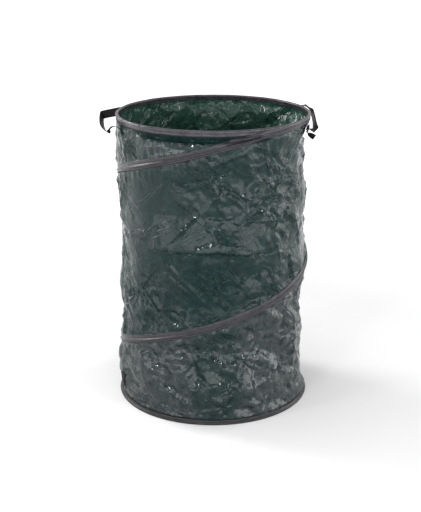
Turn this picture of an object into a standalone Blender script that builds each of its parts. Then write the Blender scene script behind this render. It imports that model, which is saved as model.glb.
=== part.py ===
"""A pop-up leaf bag: a cloth cylinder held open by spring wire.

One wire hoop holds the mouth open, another spreads the foot, and a spiral of
the same wire winds down the wall between them.  Each runs in a sewn tape
casing.  Two webbing loops on the mouth are the handles.  Pressing the mouth
down packs the spiral flat, and it springs up again by itself.

Metres, +Z up, origin on the ground at the middle of the foot.
"""

import math

import bmesh
import bpy
from mathutils import Vector

# Overall size of the open bag.
overall_height = 0.696
rim_outer_radius = 0.228
base_flare = 0.004

# Cloth of the wall and the floor.
wall_thickness = 0.0008
floor_thickness = 0.0008
land_margin = 0.002
waist_pull_share = 0.022
waist_lean_share = 0.016
waist_limit_share = 0.032
waist_flatness = 4
land_limit_share = 0.3
waist_rows = 6

# The slack cloth's broad lumps, in hundredths of the lump unit: a row for each share of
# the wall's height, top to bottom, and a number for each step round from the right handle.
lump_unit = 0.100
lump_fade = 0.035
lump_height_shares = (1.0, 0.95, 0.841, 0.725, 0.609, 0.5, 0.377, 0.2465, 0.123, 0.0)
lump_step_shares = (
    (0, 0, 0, 0, 0, 0, 0, 0, 0, 0, 0, 0, 0, 0, 0),
    (2, -3, 4, -2, 3, -4, 2, 1, -2, 1, 2, -2, 2, -2, 3),
    (-5, 4, -3, 6, -4, 3, -5, 4, 0, 0, -1, 1, -3, -5, -3),
    (6, -4, 5, -3, 5, -6, 4, -4, 1, 1, 0, -3, -2, 0, 4),
    (-4, 6, -5, 4, -3, 6, -4, -3, -4, 0, 8, 9, 7, 4, -2),
    (5, -3, 4, -6, 5, -4, 5, -1, -4, -2, -2, -1, -2, 1, 3),
    (-3, 5, -4, 4, -5, 5, -3, 2, 1, 2, -3, -4, -3, -5, -4),
    (4, -5, 5, -3, 4, -3, 5, 3, 3, -3, -5, -5, -4, -3, 2),
    (-4, 4, -3, 5, -4, 4, -5, 2, 1, 5, 5, 6, 5, 5, -3),
    (0, 0, 0, 0, 0, 0, 0, 0, 0, 0, 0, 0, 0, 0, 0),
)

# Spring wire, and the sleeves that close the two hoops.
wire_diameter = 0.003
ferrule_wall = 0.0007
ferrule_length = 0.016
ferrule_sides = 12
wire_sides = 8
fit_gap = 0.0003
weld_distance = 0.00001

# Tape casings that are sewn round the wire.
tape_thickness = 0.0009
rim_lip_depth = 0.0108
base_lip_height = 0.0120
spiral_tape_width = 0.020
casing_clearance = 0.0006
casing_arc_steps = 8
spiral_arc_steps = 6

# The spiral, in degrees round the wall; the hoops and the wall share its columns.
columns = 60
spiral_start_column = 57
spiral_columns = 110
spiral_wake_columns = 6
ease_in_share = 0.107
ease_out_share = 0.114
pitch_growth_share = 0.27

# Seam down the wall, and the small tab that is caught in it.
seam_column = 32
seam_width = 0.012
seam_thickness = 0.0010
seam_gap = 0.0008
tab_column = 33
tab_width = 0.015
tab_height = 0.026
tab_foot_z = 0.042

# Webbing of the handles.
strap_width = 0.020
strap_thickness = 0.0012
foot_thickness = 0.0021
foot_height = 0.0180
foot_column = 3
hinge_drop = 0.0090
left_reach_rear = 0.030
left_reach_front = 0.022
left_fall_rear = 0.010
left_fall_front = 0.010
right_reach_rear = 0.011
right_reach_front = 0.020
right_fall_rear = 0.001
right_fall_front = 0.009
corner_inset = 0.002
corner_radius = 0.009
straight_lead = 0.005
twist_length = 0.025
corner_steps = 5
run_steps = 6

# Loose end of the right handle's webbing.
tail_lead = 0.004
tail_reach = 0.014
tail_fall = 0.014
tail_knee_fall_share = 0.25
tail_knee_reach_share = 0.33

# Sizes worked out from the ones above.
wire_radius = wire_diameter / 2
ferrule_radius = wire_radius + fit_gap + ferrule_wall
ring_channel = ferrule_radius + fit_gap
ring_bulge = ring_channel + tape_thickness
rim_wire_radius = rim_outer_radius - ring_bulge
rim_wire_z = overall_height - ring_bulge
base_wire_radius = rim_outer_radius + base_flare - ring_bulge
base_wire_z = ring_bulge
wall_top_radius = rim_wire_radius + wall_thickness / 2
wall_top_z = rim_wire_z - ferrule_radius - fit_gap
wall_foot_radius = base_wire_radius - ring_channel
column_angle = math.tau / columns
spiral_arm = wire_radius + fit_gap
lip_outside = wall_thickness / 2 + fit_gap + tape_thickness
wall_land = max(rim_lip_depth, base_lip_height, spiral_tape_width / 2) + land_margin
foot_seat = rim_wire_radius + lip_outside + fit_gap
foot_low_z = rim_wire_z - ring_bulge - casing_clearance - foot_height
strap_root = foot_seat + foot_thickness + fit_gap + strap_thickness / 2
foot_angle = (foot_column + 0.5) * column_angle
corner_half_span = strap_root * math.sin(foot_angle) - corner_inset

# Colours as linear red, green and blue, with roughness and metallic.
dark_green_cloth = ((0.030, 0.060, 0.055), 0.35, 0.0)
grey_tape = ((0.060, 0.058, 0.066), 0.55, 0.0)
black_webbing = ((0.012, 0.012, 0.013), 0.7, 0.0)
spring_steel = ((0.45, 0.45, 0.46), 0.3, 1.0)


def clear_scene():
    for old in list(bpy.data.objects):
        bpy.data.objects.remove(old, do_unlink=True)


def new_collection(name):
    collection = bpy.data.collections.new(name)
    bpy.context.scene.collection.children.link(collection)
    return collection


def make_material(name, finish):
    colour, roughness, metallic = finish
    material = bpy.data.materials.new(name)
    material.use_nodes = True
    shader = material.node_tree.nodes["Principled BSDF"]
    shader.inputs["Base Color"].default_value = (*colour, 1.0)
    shader.inputs["Roughness"].default_value = roughness
    shader.inputs["Metallic"].default_value = metallic
    material.diffuse_color = (*colour, 1.0)
    return material


def add_part(name, data, finish, parent=None):
    """Link one named sub-part with its own material, under its body's empty."""
    part = bpy.data.objects.new(name, data)
    bag.objects.link(part)
    data.materials.append(make_material(name + "_finish", finish))
    part.parent = parent
    if parent is not None:
        part.matrix_parent_inverse = parent.matrix_basis.inverted()
    return part


def add_pivot(name, location):
    pivot = bpy.data.objects.new(name, None)
    pivot.empty_display_size = strap_width
    pivot.location = location
    bag.objects.link(pivot)
    return pivot


def mesh_from(name, verts, faces):
    mesh = bpy.data.meshes.new(name)
    mesh.from_pydata(verts, [], faces)
    mesh.update()
    return mesh


def on_column(radius, column, z):
    angle = column * column_angle
    return Vector((radius * math.cos(angle), radius * math.sin(angle), z))


def arc_points(centre, radius, start, end, steps):
    """Points of an arc in the radius-height plane, both ends included."""
    points = []
    for step in range(steps + 1):
        angle = start + (end - start) * step / steps
        points.append((centre[0] + radius * math.cos(angle),
                       centre[1] + radius * math.sin(angle)))
    return points


# The spiral's height round the wall: slow where it leaves each hoop, and a
# little steeper towards the foot.
def pitch_weight(share):
    ease = min(1.0, share / ease_in_share) * min(1.0, (1.0 - share) / ease_out_share)
    return ease * (1.0 + pitch_growth_share * (share - 0.5))


def spiral_fall_shares():
    fall = [0.0]
    for column in range(spiral_columns):
        fall.append(fall[-1] + pitch_weight((column + 0.5) / spiral_columns))
    return [value / fall[-1] for value in fall]


fall_shares = spiral_fall_shares()


def spiral_z(step):
    """Height of the spiral, a number of columns after it leaves the rim."""
    if step <= spiral_wake_columns:
        return wall_top_z
    if step >= spiral_columns:
        return 0.0
    return wall_top_z * (1.0 - fall_shares[step])


def wall_radius(z):
    return wall_foot_radius + (wall_top_radius - wall_foot_radius) * z / wall_top_z


def lump(column, z):
    """How far the slack cloth stands out between the table's points, in metres."""
    places = len(lump_step_shares[0])
    reach = (column % columns) * places / columns
    left = int(reach)
    across = reach - left
    right = (left + 1) % places
    share = min(1.0, max(0.0, z / wall_top_z))
    row = 1
    while lump_height_shares[row] > share:
        row += 1
    high, low = lump_height_shares[row - 1], lump_height_shares[row]
    up = (share - low) / (high - low)
    foot_left, foot_right = lump_step_shares[row][left], lump_step_shares[row][right]
    head_left, head_right = lump_step_shares[row - 1][left], lump_step_shares[row - 1][right]
    if across + up < 1.0:
        height = foot_left + (foot_right - foot_left) * across + (head_left - foot_left) * up
    else:
        height = head_right + (head_left - head_right) * (1.0 - across)
        height += (foot_right - head_right) * (1.0 - up)
    return height * lump_unit / 100.0


def strip_rows(step):
    """Outer points of the cloth between two turns of wire, top to bottom.

    The pulled-in waist keeps the room inside free, whatever the lumps do.
    """
    column = spiral_start_column - step
    upper = spiral_z(step - columns)
    lower = spiral_z(step)
    span = upper - lower
    land_share = min(land_limit_share, wall_land / span) if span > 0.0 else 0.0
    inner_share = 1.0 - land_share - land_share
    slack = max(0.0, span - wall_land - wall_land)
    lean_share = waist_pull_share + waist_lean_share * math.cos(column * column_angle)
    shares = [0.0, land_share]
    shares += [land_share + inner_share * row / (waist_rows + 1) for row in range(1, waist_rows + 1)]
    shares += [1.0 - land_share, 1.0]
    points = []
    for share in shares:
        z = upper - span * share
        reach = (share - land_share) / inner_share
        middle = 2.0 * min(1.0, max(0.0, reach)) - 1.0
        pull = lean_share * slack * (1.0 - middle ** waist_flatness)
        limit = waist_limit_share * slack * (1.0 - middle * middle)
        free = (min(share, 1.0 - share) - land_share) * span / lump_fade
        free = min(1.0, max(0.0, free))
        out = lump(column, z) * free * free * (3.0 - free - free)
        points.append((wall_radius(z) - min(pull - out, limit), z))
    return points


def wall_profile(column):
    """The whole wall over one column, top to bottom, without doubled points."""
    first = (spiral_start_column - column) % columns
    points = []
    for step in range(first, spiral_columns + columns, columns):
        for point in strip_rows(step):
            if not points or point != points[-1]:
                points.append(point)
    return points


def radius_at(profile, z):
    for (upper_radius, upper_z), (lower_radius, lower_z) in zip(profile, profile[1:]):
        if lower_z <= z <= upper_z and upper_z > lower_z:
            share = (upper_z - z) / (upper_z - lower_z)
            return upper_radius + (lower_radius - upper_radius) * share
    return profile[-1][0]


def build_bag_wall():
    """One cloth strip wound down between the turns of wire, then thickened."""
    bm = bmesh.new()
    made = {}

    def vertex(step, point):
        place = on_column(point[0], spiral_start_column - step, point[1])
        key = tuple(round(value / fit_gap, 2) for value in place)
        if key not in made:
            made[key] = bm.verts.new(place)
        return made[key]

    for step in range(spiral_columns + columns):
        here = [vertex(step, point) for point in strip_rows(step)]
        ahead = [vertex(step + 1, point) for point in strip_rows(step + 1)]
        for row in range(len(here) - 1):
            corners = [here[row], ahead[row], ahead[row + 1], here[row + 1]]
            unique = list(dict.fromkeys(corners))
            if len(unique) > 2:
                bm.faces.new(unique)
    mesh = bpy.data.meshes.new("bag_wall")
    bm.to_mesh(mesh)
    bm.free()
    mesh.shade_smooth()
    wall = add_part("bag_wall", mesh, dark_green_cloth)
    thicken = wall.modifiers.new("cloth", "SOLIDIFY")
    thicken.thickness = wall_thickness
    thicken.offset = -1.0
    return wall


def build_floor_panel():
    """The round bottom cloth, lying on the ground inside the wall's foot."""
    floor_radius = wall_foot_radius - wall_thickness - fit_gap - fit_gap
    bm = bmesh.new()
    bmesh.ops.create_cone(bm, cap_ends=True, segments=columns, radius1=floor_radius,
                          radius2=floor_radius, depth=floor_thickness)
    bmesh.ops.translate(bm, verts=bm.verts, vec=(0.0, 0.0, floor_thickness / 2))
    mesh = bpy.data.meshes.new("floor_panel")
    bm.to_mesh(mesh)
    bm.free()
    return add_part("floor_panel", mesh, dark_green_cloth)


def turned_part(name, profile, finish, parent=None):
    """A closed outline in radius and height, turned about the bag's axis."""
    mesh = bpy.data.meshes.new(name)
    verts = [(radius, 0.0, z) for radius, z in profile]
    edges = [(index, (index + 1) % len(verts)) for index in range(len(verts))]
    mesh.from_pydata(verts, edges, [])
    part = add_part(name, mesh, finish, parent)
    turn = part.modifiers.new("turn", "SCREW")
    turn.steps = columns
    turn.render_steps = columns
    turn.use_merge_vertices = True
    turn.merge_threshold = weld_distance
    return part


def build_rim_casing(parent):
    """Binding folded over the wall's top edge, with the wire in its fold."""
    centre = (rim_wire_radius, rim_wire_z)
    throat = wall_thickness / 2 + fit_gap
    outer_turn = math.asin(lip_outside / ring_bulge)
    inner_turn = math.asin(throat / ring_channel)
    lip_foot = rim_wire_z - rim_lip_depth
    down = -math.pi / 2
    profile = [(rim_wire_radius - lip_outside, lip_foot)]
    profile += arc_points(centre, ring_bulge, down - outer_turn + math.tau,
                          down + outer_turn, casing_arc_steps)
    profile += [(rim_wire_radius + lip_outside, lip_foot),
                (rim_wire_radius + throat, lip_foot)]
    profile += arc_points(centre, ring_channel, down + inner_turn,
                          down - inner_turn + math.tau, casing_arc_steps)
    profile += [(rim_wire_radius - throat, lip_foot)]
    return turned_part("rim_casing", profile, grey_tape, parent)


def build_base_casing():
    """Tape round the foot wire: a hoop that is open towards the wall, with a lip."""
    centre = (base_wire_radius, base_wire_z)
    back = ring_channel - fit_gap
    lip_face = back - tape_thickness
    outer_start = math.pi - math.acos(lip_face / ring_bulge)
    outer_end = math.acos(back / ring_bulge) - math.pi
    inner_end = math.pi - math.acos(back / ring_channel)
    profile = [(base_wire_radius - lip_face, base_lip_height)]
    profile += arc_points(centre, ring_bulge, outer_start, outer_end, casing_arc_steps)
    profile += arc_points(centre, ring_channel, -inner_end, inner_end, casing_arc_steps)
    profile += [(base_wire_radius - back, base_lip_height)]
    return turned_part("base_casing", profile, grey_tape)


def build_hoop(name, radius, z, parent=None):
    bpy.ops.mesh.primitive_torus_add(major_segments=columns, minor_segments=wire_sides,
                                     major_radius=radius, minor_radius=wire_radius)
    torus = bpy.context.object
    mesh = torus.data
    bpy.data.objects.remove(torus, do_unlink=True)
    mesh.name = name
    mesh.shade_smooth()
    hoop = add_part(name, mesh, spring_steel, parent)
    hoop.location.z = z
    return hoop


def build_ferrule(name, radius, z, column, parent=None):
    """Crimped sleeve over the hoop's joint, on one straight stretch of the wire."""
    bore = wire_radius + fit_gap
    half = ferrule_length / 2
    mesh = bpy.data.meshes.new(name)
    outline = [(ferrule_radius, half), (ferrule_radius, -half), (bore, -half), (bore, half)]
    edges = [(index, (index + 1) % len(outline)) for index in range(len(outline))]
    mesh.from_pydata([(reach, 0.0, along) for reach, along in outline], edges, [])
    ferrule = add_part(name, mesh, spring_steel, parent)
    turn = ferrule.modifiers.new("turn", "SCREW")
    turn.steps = ferrule_sides
    turn.render_steps = ferrule_sides
    turn.use_merge_vertices = True
    turn.merge_threshold = weld_distance
    chord = radius * math.cos(column_angle / 2)
    ferrule.location = on_column(chord, column + 0.5, z)
    ferrule.rotation_euler = (math.pi / 2, 0.0, (column + 0.5) * column_angle)
    return ferrule


def spiral_span():
    """First and last spiral column whose tape is clear of both hoops' casings."""
    slope_room = spiral_tape_width / 2 + casing_clearance
    highest = rim_wire_z - rim_lip_depth - slope_room
    lowest = base_lip_height + slope_room
    clear = [step for step in range(spiral_columns)
             if lowest + casing_clearance < spiral_z(step) < highest - casing_clearance]
    return clear[0], clear[-1]


def spiral_slope(step):
    """How much longer a vertical cut through the sloping tape is than a square one."""
    rise = spiral_z(step) - spiral_z(step + 1)
    run = wall_radius(spiral_z(step)) * column_angle
    return math.hypot(rise, run) / run


def build_spiral_casing():
    """Flat tape with the wire in a ridge along its middle, swept down the spiral."""
    first, last = spiral_span()
    half = spiral_tape_width / 2
    bulge = spiral_arm + tape_thickness
    centre = (fit_gap + wire_radius, 0.0)
    outer_turn = math.acos((fit_gap + tape_thickness - centre[0]) / bulge)
    inner_turn = math.acos((fit_gap - centre[0]) / spiral_arm)
    outline = [(fit_gap + tape_thickness, half)]
    outline += arc_points(centre, bulge, outer_turn, -outer_turn, spiral_arc_steps)
    outline += [(fit_gap + tape_thickness, -half), (fit_gap, -half)]
    outline += arc_points(centre, spiral_arm, -inner_turn, inner_turn, spiral_arc_steps)
    outline += [(fit_gap, half)]
    count = len(outline)
    verts = []
    for step in range(first, last + 1):
        middle = spiral_z(step)
        stretch = spiral_slope(step)
        for out, along in outline:
            z = middle + along * stretch
            verts.append(on_column(wall_radius(z) + out, spiral_start_column - step, z))
    faces = []
    for ring in range(last - first):
        for index in range(count):
            after = (index + 1) % count
            start = ring * count
            faces.append((start + index, start + after,
                          start + count + after, start + count + index))
    faces.append(tuple(reversed(range(count))))
    faces.append(tuple(range((last - first) * count, (last - first + 1) * count)))
    mesh = mesh_from("spiral_casing", verts, faces)
    bm = bmesh.new()
    bm.from_mesh(mesh)
    bmesh.ops.recalc_face_normals(bm, faces=bm.faces)
    bm.to_mesh(mesh)
    bm.free()
    return add_part("spiral_casing", mesh, grey_tape)


def wire_curve(name, points, finish):
    curve = bpy.data.curves.new(name, "CURVE")
    curve.dimensions = "3D"
    curve.bevel_depth = wire_radius
    curve.bevel_resolution = wire_sides // 2 - 2
    curve.use_fill_caps = True
    spline = curve.splines.new("POLY")
    spline.points.add(len(points) - 1)
    for point, place in zip(spline.points, points):
        point.co = (*place, 1.0)
    return add_part(name, curve, finish)


def build_spiral_wire():
    first, last = spiral_span()
    points = []
    for step in range(first, last + 1):
        z = spiral_z(step)
        points.append(on_column(wall_radius(z) + spiral_arm, spiral_start_column - step, z))
    return wire_curve("spiral_wire", points, spring_steel)


def build_side_seam():
    """Folded seam down the inside of the wall, where the cloth's ends meet."""
    near = wall_profile(seam_column)
    far = wall_profile(seam_column + 1)
    depth = wall_thickness + seam_gap
    heights = sorted({z for radius, z in near + far}, reverse=True)
    highest = rim_wire_z - rim_lip_depth - fit_gap
    lowest = floor_thickness + fit_gap
    heights = [highest] + [z for z in heights if lowest < z < highest] + [lowest]
    middle = (seam_column + 0.5) * column_angle
    along = Vector((-math.sin(middle), math.cos(middle), 0.0)) * (seam_width / 2)
    verts = []
    for z in heights:
        radius = min(radius_at(near, z), radius_at(far, z)) - depth
        centre = on_column(radius * math.cos(column_angle / 2), seam_column + 0.5, z)
        verts += [centre - along, centre + along]
    faces = [(2 * row, 2 * row + 2, 2 * row + 3, 2 * row + 1)
             for row in range(len(heights) - 1)]
    seam = add_part("side_seam", mesh_from("side_seam", verts, faces), dark_green_cloth)
    thicken = seam.modifiers.new("folds", "SOLIDIFY")
    thicken.thickness = seam_thickness
    thicken.offset = -1.0
    return seam


def flat_plate(name, column, root, low_z, width, height, thickness, parent=None):
    """A flat webbing patch that stands on the middle of one wall facet."""
    bm = bmesh.new()
    bmesh.ops.create_cube(bm, size=1.0)
    bmesh.ops.scale(bm, verts=bm.verts, vec=(thickness, width, height))
    mesh = bpy.data.meshes.new(name)
    bm.to_mesh(mesh)
    bm.free()
    plate = add_part(name, mesh, black_webbing, parent)
    facet = root * math.cos(column_angle / 2) + thickness / 2
    plate.location = on_column(facet, column + 0.5, low_z + height / 2)
    plate.rotation_euler.z = (column + 0.5) * column_angle
    return plate


def build_base_tab():
    """Short webbing tab that is caught in the seam near the foot."""
    profiles = wall_profile(tab_column), wall_profile(tab_column + 1)
    seat = max(radius_at(profile, z) for profile in profiles
               for z in (tab_foot_z, tab_foot_z + tab_height / 2, tab_foot_z + tab_height))
    return flat_plate("base_tab", tab_column, seat + fit_gap, tab_foot_z,
                      tab_width, tab_height, strap_thickness)


def rounded_path(corners, radius, steps):
    """A bent line with an arc of a given radius in place of each inner corner."""
    path = [corners[0]]
    for before, corner, after in zip(corners, corners[1:], corners[2:]):
        back = (before - corner).normalized()
        onward = (after - corner).normalized()
        half_bend = back.angle(onward) / 2
        setback = radius / math.tan(half_bend)
        centre = corner + (back + onward).normalized() * (radius / math.sin(half_bend))
        start = (corner + back * setback - centre).normalized()
        end = (corner + onward * setback - centre).normalized()
        for step in range(steps + 1):
            path.append(centre + start.slerp(end, step / steps) * radius)
    path.append(corners[-1])
    return path


def strap_path(reach_front, reach_rear, fall_front, fall_rear):
    """Middle line of a handle on the right side, from its front foot to its rear one."""
    out_rear = Vector((math.cos(foot_angle), math.sin(foot_angle), 0.0))
    out_front = Vector((math.cos(foot_angle), -math.sin(foot_angle), 0.0))
    root = strap_root * math.cos(column_angle / 2)
    level = Vector((0.0, 0.0, rim_wire_z - hinge_drop))
    front_x = rim_outer_radius + reach_front
    rear_x = rim_outer_radius + reach_rear
    corners = [level + out_front * root,
               level + out_front * (root + straight_lead),
               level + Vector((front_x, -corner_half_span, -fall_front)),
               level + Vector((rear_x, corner_half_span, -fall_rear)),
               level + out_rear * (root + straight_lead),
               level + out_rear * root]
    bent = [corners[0]]
    bent += rounded_path(corners[1:5], corner_radius, corner_steps)
    bent += [corners[5]]
    middle = len(bent) // 2
    before = bent[middle - 1]
    after = bent[middle]
    run = [before.lerp(after, step / run_steps) for step in range(1, run_steps)]
    return bent[:middle] + run + bent[middle:]


def strap_tilts(path):
    """Flat on its feet, and turned on edge along the grip."""
    lengths = [0.0]
    for before, after in zip(path, path[1:]):
        lengths.append(lengths[-1] + (after - before).length)
    tilts = []
    for length in lengths:
        share = (min(length, lengths[-1] - length) - straight_lead) / twist_length
        share = min(1.0, max(0.0, share))
        ease = share * share * (3.0 - share - share)
        tilts.append((1.0 - ease) * math.pi / 2)
    return tilts


def strap(name, path, tilts, parent=None):
    """Flat webbing along a line: a curve's ribbon, turned by its tilts and thickened."""
    curve = bpy.data.curves.new(name, "CURVE")
    curve.dimensions = "3D"
    curve.twist_mode = "Z_UP"
    curve.extrude = strap_width / 2
    spline = curve.splines.new("POLY")
    spline.points.add(len(path) - 1)
    for point, place, tilt in zip(spline.points, path, tilts):
        point.co = (*place, 1.0)
        point.tilt = tilt
    ribbon = add_part(name, curve, black_webbing, parent)
    thicken = ribbon.modifiers.new("webbing", "SOLIDIFY")
    thicken.thickness = strap_thickness
    thicken.offset = 0.0
    return ribbon


def hinge_x():
    """Where the strap's inner corners meet the line through both its feet."""
    root = strap_root * math.cos(column_angle / 2)
    return root * math.cos(foot_angle) + strap_width / 2 * math.sin(foot_angle)


def build_handles(rim):
    hinge_z = rim_wire_z - hinge_drop
    right_pivot = add_pivot("right_handle_hinge", (hinge_x(), 0.0, hinge_z))
    left_pivot = add_pivot("left_handle_hinge", (-hinge_x(), 0.0, hinge_z))
    right = strap_path(right_reach_front, right_reach_rear, right_fall_front, right_fall_rear)
    strap("right_handle", right, strap_tilts(right), right_pivot)
    left = [Vector((-place.x, place.y, place.z)) for place in
            strap_path(left_reach_front, left_reach_rear, left_fall_front, left_fall_rear)]
    strap("left_handle", left, strap_tilts(left), left_pivot)
    half_turn = columns // 2
    feet = (("right_handle_rear_foot", foot_column),
            ("right_handle_front_foot", -foot_column - 1),
            ("left_handle_rear_foot", half_turn - foot_column - 1),
            ("left_handle_front_foot", half_turn + foot_column))
    for name, column in feet:
        flat_plate(name, column, foot_seat, foot_low_z, strap_width, foot_height,
                   foot_thickness, rim)


def build_tail(rim):
    """Loose end of the right handle's webbing, hanging out below its front foot."""
    out = Vector((math.cos(foot_angle), -math.sin(foot_angle), 0.0))
    down = Vector((0.0, 0.0, -1.0))
    root = foot_seat * math.cos(column_angle / 2) + foot_thickness / 2
    start = out * root
    start.z = foot_low_z - fit_gap
    path = [start, start + down * tail_lead,
            start + down * (tail_lead + tail_fall * tail_knee_fall_share)
            + out * (tail_reach * tail_knee_reach_share),
            start + down * (tail_lead + tail_fall) + out * tail_reach]
    strip = []
    across = Vector((-out.y, out.x, 0.0)) * (strap_width / 2)
    for place in path:
        strip += [place - across, place + across]
    faces = [(2 * row, 2 * row + 2, 2 * row + 3, 2 * row + 1) for row in range(len(path) - 1)]
    mesh = mesh_from("right_handle_tail", strip, faces)
    tail = add_part("right_handle_tail", mesh, black_webbing, rim)
    thicken = tail.modifiers.new("webbing", "SOLIDIFY")
    thicken.thickness = strap_thickness
    thicken.offset = 0.0
    return tail


clear_scene()
bag = new_collection("pop_up_leaf_bag")
rim_slide = add_pivot("rim_slide", (0.0, 0.0, 0.0))

build_bag_wall()
build_side_seam()
build_floor_panel()
build_base_casing()
build_hoop("base_wire", base_wire_radius, base_wire_z)
build_ferrule("base_ferrule", base_wire_radius, base_wire_z, columns // 4)
build_spiral_casing()
build_spiral_wire()
build_base_tab()

build_rim_casing(rim_slide)
build_hoop("rim_wire", rim_wire_radius, rim_wire_z, rim_slide)
build_ferrule("rim_ferrule", rim_wire_radius, rim_wire_z, columns // 4, rim_slide)
build_handles(rim_slide)
build_tail(rim_slide)
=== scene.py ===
import math

import bmesh
import bpy
import numpy as np
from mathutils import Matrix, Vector, noise
from mathutils.bvhtree import BVHTree
from mathutils.geometry import delaunay_2d_cdt


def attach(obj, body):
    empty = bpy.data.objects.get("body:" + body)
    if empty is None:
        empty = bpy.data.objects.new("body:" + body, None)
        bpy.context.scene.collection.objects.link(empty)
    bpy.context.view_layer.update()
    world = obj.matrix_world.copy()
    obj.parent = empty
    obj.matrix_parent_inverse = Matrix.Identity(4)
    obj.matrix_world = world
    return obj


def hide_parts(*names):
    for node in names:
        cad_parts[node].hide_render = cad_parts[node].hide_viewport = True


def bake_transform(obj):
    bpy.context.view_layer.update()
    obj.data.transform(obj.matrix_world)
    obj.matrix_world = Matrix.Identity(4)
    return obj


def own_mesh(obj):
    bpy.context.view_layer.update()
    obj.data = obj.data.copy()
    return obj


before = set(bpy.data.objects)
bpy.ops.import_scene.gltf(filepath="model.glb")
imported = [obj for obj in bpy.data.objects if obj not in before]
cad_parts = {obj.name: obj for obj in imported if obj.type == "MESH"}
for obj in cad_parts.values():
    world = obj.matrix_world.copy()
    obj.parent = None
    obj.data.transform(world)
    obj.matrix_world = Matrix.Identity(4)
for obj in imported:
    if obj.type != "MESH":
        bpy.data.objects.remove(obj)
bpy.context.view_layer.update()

# The camera looks slightly down into the mouth, from a little over two and a
# half metres away, with a long lens.
camera_distance = 2.6108
camera_height = 1.1899
camera_pitch = math.radians(18.02)
camera_yaw = 0.0023
camera_data = bpy.data.cameras.new("camera")
camera_data.lens = 79.4
camera_data.sensor_width = 36.0
camera_data.clip_end = 60.0
camera = bpy.data.objects.new("camera", camera_data)
camera.location = (0.0, -camera_distance, camera_height)
camera.rotation_euler = (math.pi / 2 - camera_pitch, 0.0, camera_yaw)
bpy.context.scene.collection.objects.link(camera)
bpy.context.scene.camera = camera
bpy.context.scene.view_settings.view_transform = "Standard"

# A white studio: an even white sky, a pale floor that fades into it, a ring of
# standing soft boxes, a key box on the left and one overhead.
white = (1.0, 1.0, 1.0, 1.0)
sky_level = 0.15
lamp_aim = (0.0, 0.0, 0.35)
floor_corners = 48
floor_radius = 14.0
floor_tone = 0.72
floor_lift = 0.08
floor_near = 0.7
floor_far = 2.0
ring_reach = 3.3
ring_box_size = (2.6, 1.4)
ring_box_height = 0.71
ring_boxes = (("left_rear", -186.0, 30.0), ("left_front", -138.0, 54.0), ("front", -90.0, 66.0),
              ("right_front", -42.0, 70.0), ("right_rear", 6.0, 64.0))
soft_boxes = []
for box_name, box_way, box_power in ring_boxes:
    box_x = ring_reach * math.cos(math.radians(box_way))
    box_y = ring_reach * math.sin(math.radians(box_way))
    soft_boxes.append((box_name + "_box", (box_x, box_y, ring_box_height), ring_box_size, box_power))
soft_boxes += [
    ("key_box", (-2.2, 1.25, 1.75), (1.0, 1.0), 60.0),
    ("top_box", (-0.4, 0.2, 3.1), (1.6, 1.6), 26.0),
    ("bright_box", (-0.8, -2.0, 2.4), (0.20, 0.20), 10.0),
    ("left_spark", (-2.0, -1.3, 1.5), (0.14, 0.14), 9.0),
    ("front_spark", (0.5, -2.6, 1.6), (0.12, 0.12), 5.0),
    ("right_spark", (1.7, -1.7, 1.6), (0.14, 0.14), 9.0),
    ("edge_box", (1.9, 0.9, 1.5), (0.30, 0.9), 8.0),
]


def set_sockets(tree, node, sockets):
    """Give a node's sockets their values, or link them to outputs of other nodes."""
    for socket, value in sockets.items():
        if isinstance(value, bpy.types.NodeSocket):
            tree.links.new(value, node.inputs[socket])
        else:
            node.inputs[socket].default_value = value


def add_node(tree, kind, sockets, **settings):
    """A new node with its settings made and its sockets filled."""
    node = tree.nodes.new(kind)
    for setting, value in settings.items():
        setattr(node, setting, value)
    set_sockets(tree, node, sockets)
    return node


def calculated(tree, operation, *values):
    """The result of a Math node on up to three values or outputs."""
    return add_node(tree, "ShaderNodeMath", dict(enumerate(values)), operation=operation).outputs[0]


def vector_step(tree, operation, *values):
    """The outputs of a Vector Math node on up to three values or outputs."""
    return add_node(tree, "ShaderNodeVectorMath", dict(enumerate(values)), operation=operation).outputs


def ranged(tree, value, source, target, **settings):
    """A value moved from one range to another, each given as its two ends."""
    sockets = {"Value": value, "From Min": source[0], "From Max": source[1],
               "To Min": target[0], "To Max": target[1]}
    return add_node(tree, "ShaderNodeMapRange", sockets, **settings).outputs["Result"]


def object_place(tree):
    return add_node(tree, "ShaderNodeTexCoord", {}).outputs["Object"]


def new_material(name, sockets):
    """A material with one Principled shader: the material, its tree and the shader."""
    material = bpy.data.materials.new(name)
    material.use_nodes = True
    tree = material.node_tree
    tree.nodes.clear()
    shader = add_node(tree, "ShaderNodeBsdfPrincipled", sockets)
    add_node(tree, "ShaderNodeOutputMaterial", {"Surface": shader.outputs["BSDF"]})
    return material, tree, shader


def seen_directly(tree):
    """1 for camera, glossy and transmission rays, and 0 for light that bounces."""
    path = add_node(tree, "ShaderNodeLightPath", {}).outputs
    first = calculated(tree, "MAXIMUM", path["Is Camera Ray"], path["Is Glossy Ray"])
    return calculated(tree, "MAXIMUM", first, path["Is Transmission Ray"])


world = bpy.data.worlds.new("white_studio")
world.use_nodes = True
bpy.context.scene.world = world
sky_tree = world.node_tree
sky_strength = ranged(sky_tree, seen_directly(sky_tree), (0.0, 1.0), (sky_level, 1.0))
set_sockets(sky_tree, sky_tree.nodes["Background"], {"Color": white, "Strength": sky_strength})

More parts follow.
